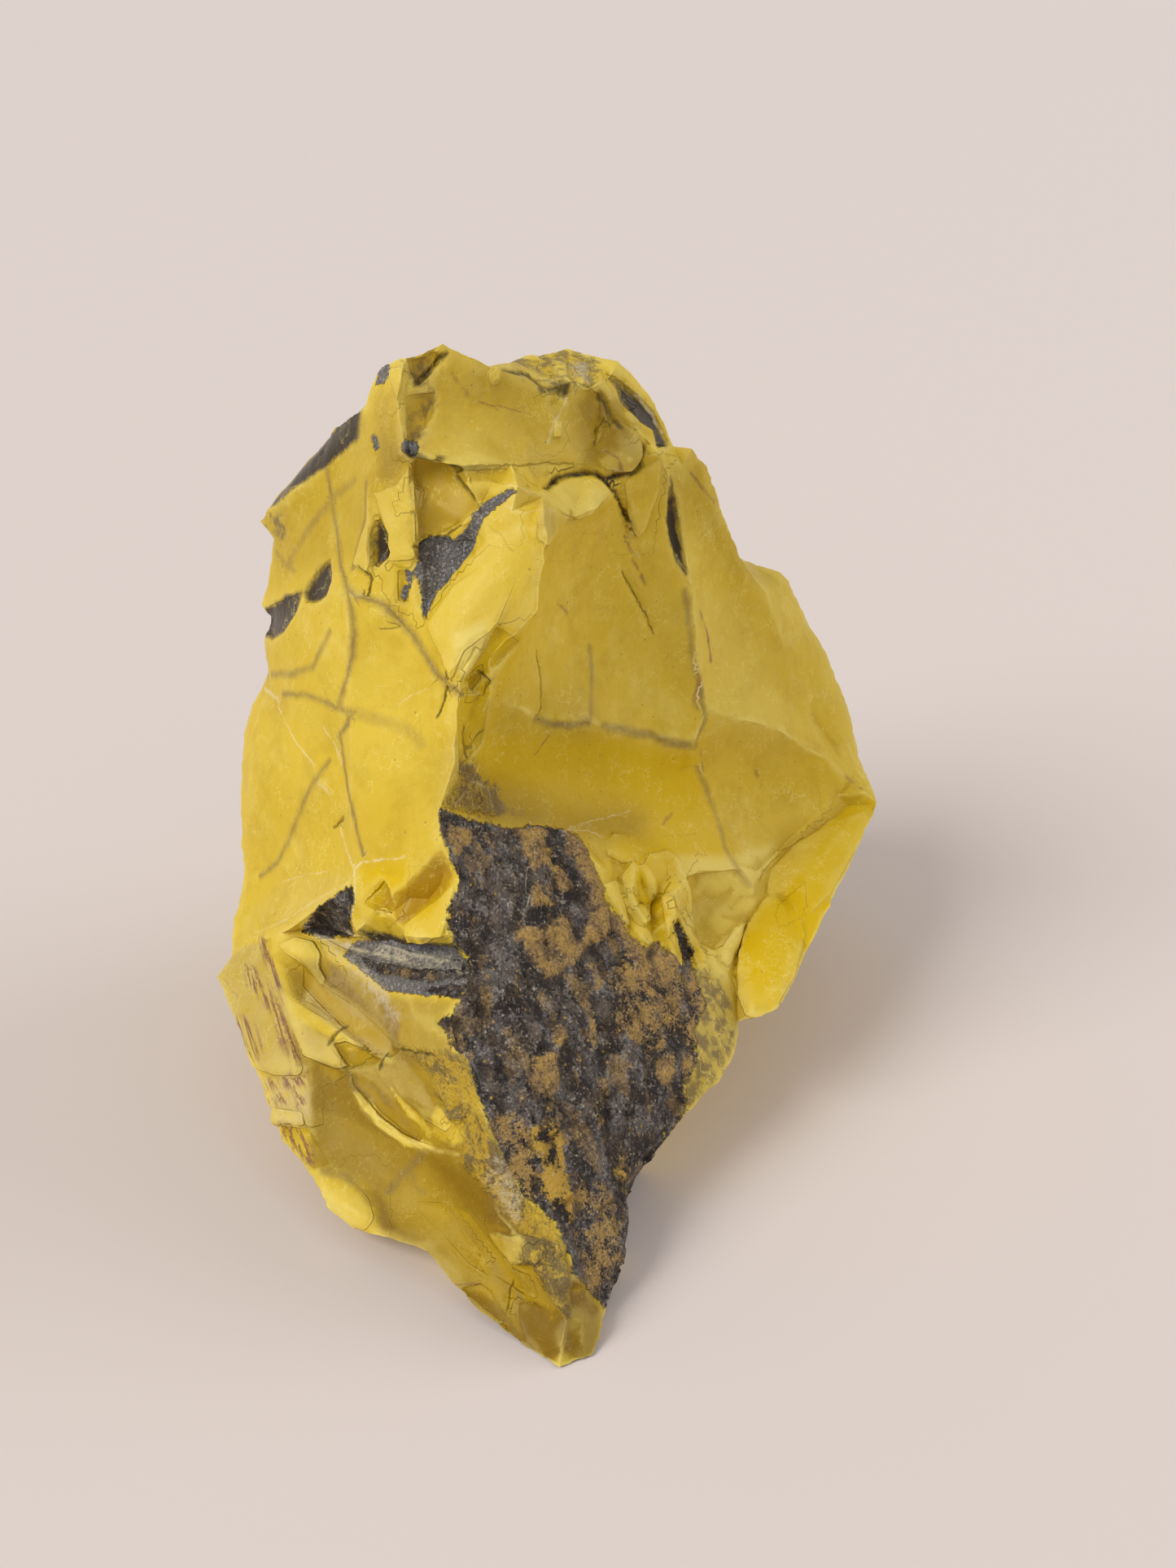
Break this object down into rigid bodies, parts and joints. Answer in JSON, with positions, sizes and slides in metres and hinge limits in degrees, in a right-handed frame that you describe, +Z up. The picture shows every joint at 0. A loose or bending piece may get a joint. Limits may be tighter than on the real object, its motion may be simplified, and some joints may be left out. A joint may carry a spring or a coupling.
{
  "type": "rough mookaite stone",
  "caption": "Rough mookaite: a broken yellow stone with hollow fracture faces, sharp ridges and a dark weathered rind, standing on a flat underside.",
  "frame": {"origin": "centre of the bounding box in X and Y, on the resting face, so that the underside lies on Z = 0", "axes": "+Z up with the stone standing on its flat underside, +Y toward the back of the stone, -Y toward the pointed toe, +X toward the thick flange on its right"},
  "size_m": [0.0788, 0.0992, 0.087],
  "materials": {
    "mookaite": "satin"
  },
  "bodies": {
    "root": {"stone": "mookaite"}
  },
  "joints": []
}
